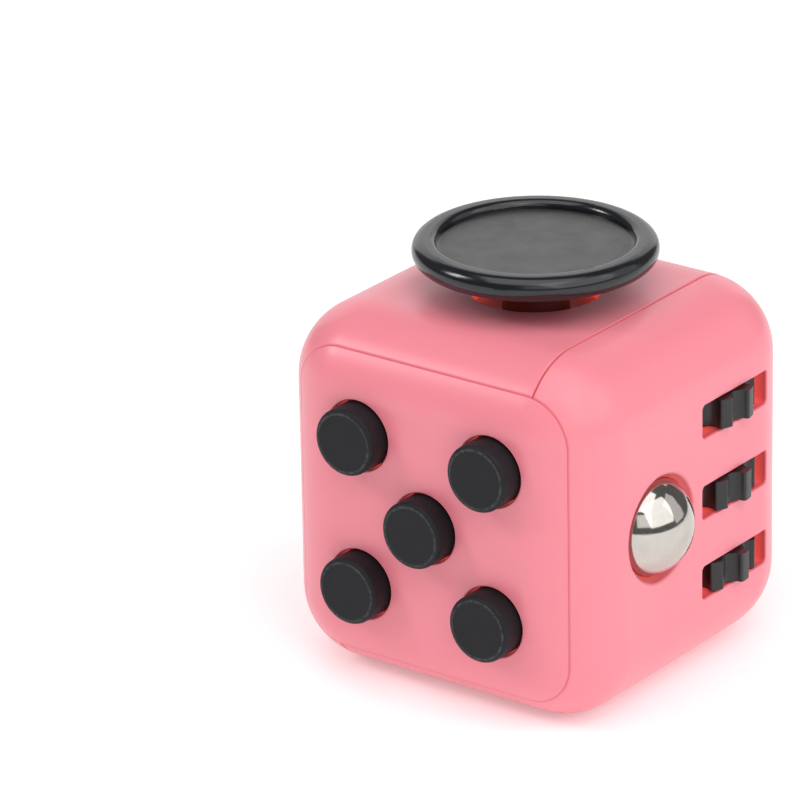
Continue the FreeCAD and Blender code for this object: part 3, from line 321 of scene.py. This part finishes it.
def soft_black():
    """Matte rubber caps with a trace of pale dust and a worn ring near the edge of each face."""
    recipe = Recipe("soft_black")
    grain = recipe.noise(per_mm=4, detail=5, rough=0.6)
    fine = recipe.noise(per_mm=14, detail=3, rough=0.6)
    dust = recipe.spread(fine, 0.0, 0.25, start=0.66, end=0.76)
    past_ring = recipe.math("SUBTRACT", distance_from_button(recipe), WORN_RING)
    off_ring = recipe.math("ABSOLUTE", past_ring)
    ring = recipe.spread(off_ring, 1.0, 0.0, *RING_WIDTHS)
    patches = recipe.spread(recipe.noise(per_mm=2.2, detail=4, rough=0.7), 0.15, 0.75, start=0.42, end=0.62)
    wear = recipe.math("MULTIPLY", ring, patches)
    dusty = recipe.mix(dust, recipe.mix(grain, *RUBBER), RUBBER_DUST)
    recipe.colour(recipe.mix(wear, dusty, RUBBER_WEAR))
    recipe.rough(recipe.spread(grain, 0.52, 0.68))
    recipe.set(Specular_IOR_Level=0.28)
    recipe.bump(fine, strength=0.2, distance=0.03 * MM)
    return recipe.material


def satin_black(name, low, high, shade):
    """Moulded black plastic with a fine texture; low and high bound its roughness."""
    recipe = Recipe(name)
    grain = recipe.noise(per_mm=3, detail=4, rough=0.6)
    darker = shade * 0.8
    lighter = shade * 1.2
    bluer = shade * 1.25
    recipe.colour(recipe.mix(grain, (darker,) * 3, (lighter, lighter, bluer)))
    recipe.rough(recipe.spread(grain, low, high))
    recipe.bump(recipe.noise(per_mm=9, detail=3), strength=0.12, distance=0.02 * MM)
    return recipe.material


DISC_HOLLOW_SHADES = ((0.014, 0.0145, 0.015), (0.034, 0.034, 0.033))
DISC_RIM_SHADE = (0.007, 0.008, 0.011)
DISC_DUST = (0.07, 0.07, 0.072)


def disc_black():
    """The glide disc: a glossy rim round a duller, faintly scuffed hollow."""
    recipe = Recipe("disc_black")
    flat = recipe.vector("MULTIPLY", recipe.place(), (1, 1, 0)).outputs[0]
    reach = recipe.size_of("LENGTH", flat)
    rim = recipe.mask(reach, DISC_HOLLOW, DISC_HOLLOW + DISC_HOLLOW_EDGE)
    scuff = recipe.noise(per_mm=0.35, detail=5, rough=0.65)
    dust = recipe.spread(recipe.noise(per_mm=5, detail=3, rough=0.6), 0.0, 0.5, start=0.70, end=0.78)
    shade = recipe.mix(rim, recipe.mix(scuff, *DISC_HOLLOW_SHADES), DISC_RIM_SHADE)
    recipe.colour(recipe.mix(dust, shade, DISC_DUST))
    dull = recipe.spread(scuff, 0.30, 0.44)
    glossy = recipe.spread(recipe.noise(per_mm=0.8, detail=3), 0.15, 0.20)
    recipe.rough(recipe.mix_numbers(rim, dull, glossy))
    recipe.set(IOR=1.55)
    recipe.bump(recipe.noise(per_mm=6, detail=3), strength=0.05, distance=0.02 * MM)
    return recipe.material


BALL_SHADES = ((0.46, 0.435, 0.395), (0.60, 0.575, 0.53))


def polished_steel():
    """The ball: bright warm metal with faint polishing marks."""
    recipe = Recipe("polished_steel")
    smear = recipe.noise(per_mm=0.9, detail=5, rough=0.65)
    recipe.colour(recipe.mix(smear, *BALL_SHADES))
    recipe.rough(recipe.spread(smear, 0.05, 0.14))
    recipe.set(Metallic=1.0)
    recipe.bump(recipe.noise(per_mm=1.6, detail=4), strength=0.03, distance=0.05 * MM)
    return recipe.material


def plain_metal(name, colour, low, high):
    """Springs and screws; low and high bound the roughness."""
    recipe = Recipe(name)
    grain = recipe.noise(per_mm=2.5, detail=4)
    darker = tuple(0.9 * part for part in colour)
    recipe.colour(recipe.mix(grain, darker, colour))
    recipe.rough(recipe.spread(grain, low, high))
    recipe.set(Metallic=1.0)
    recipe.bump(recipe.noise(per_mm=8, detail=2), strength=0.08, distance=0.02 * MM)
    return recipe.material


def inner_plastic(name, first, second, low=0.4, high=0.55):
    """Hidden mouldings, pads and board; low and high bound the roughness."""
    recipe = Recipe(name)
    grain = recipe.noise(per_mm=1.5, detail=4)
    recipe.colour(recipe.mix(grain, first, second))
    recipe.rough(recipe.spread(grain, low, high))
    recipe.bump(recipe.noise(per_mm=7, detail=2), strength=0.08, distance=0.02 * MM)
    return recipe.material


def dress_nodes():
    """Every CAD node takes its slot's material; the glide disc has one of its own."""
    finishes = {
        "pink_housing": pink_plastic(),
        "black_cap": soft_black(),
        "black_gear": satin_black("satin_black_gear", 0.30, 0.42, shade=0.014),
        "black_moving": satin_black("satin_black_disc", 0.15, 0.22, shade=0.010),
        "chrome_ball": polished_steel(),
        "spring_steel": plain_metal("spring_steel", (0.62, 0.62, 0.63), 0.2, 0.32),
        "screw_steel": plain_metal("screw_steel", (0.42, 0.42, 0.44), 0.28, 0.42),
        "white_inner": inner_plastic("white_acetal", (0.72, 0.72, 0.69), (0.8, 0.8, 0.77)),
        "board": inner_plastic("green_board", (0.015, 0.10, 0.04), (0.025, 0.15, 0.06), 0.3, 0.4),
        "silicone": inner_plastic("grey_silicone", (0.42, 0.42, 0.42), (0.5, 0.5, 0.5), 0.5, 0.65),
    }
    special = {"glide_disc": disc_black()}
    for entry in frame["record"]["subparts"]:
        item = NODES[entry["node"]]
        item.data.materials.clear()
        item.data.materials.append(special.get(entry["node"]) or finishes[entry["material_slot"]])


# ------------------------------------------------------------------ the scene

make_camera()
make_studio()
make_floor()
dress_nodes()
bpy.context.scene.view_settings.view_transform = "Standard"
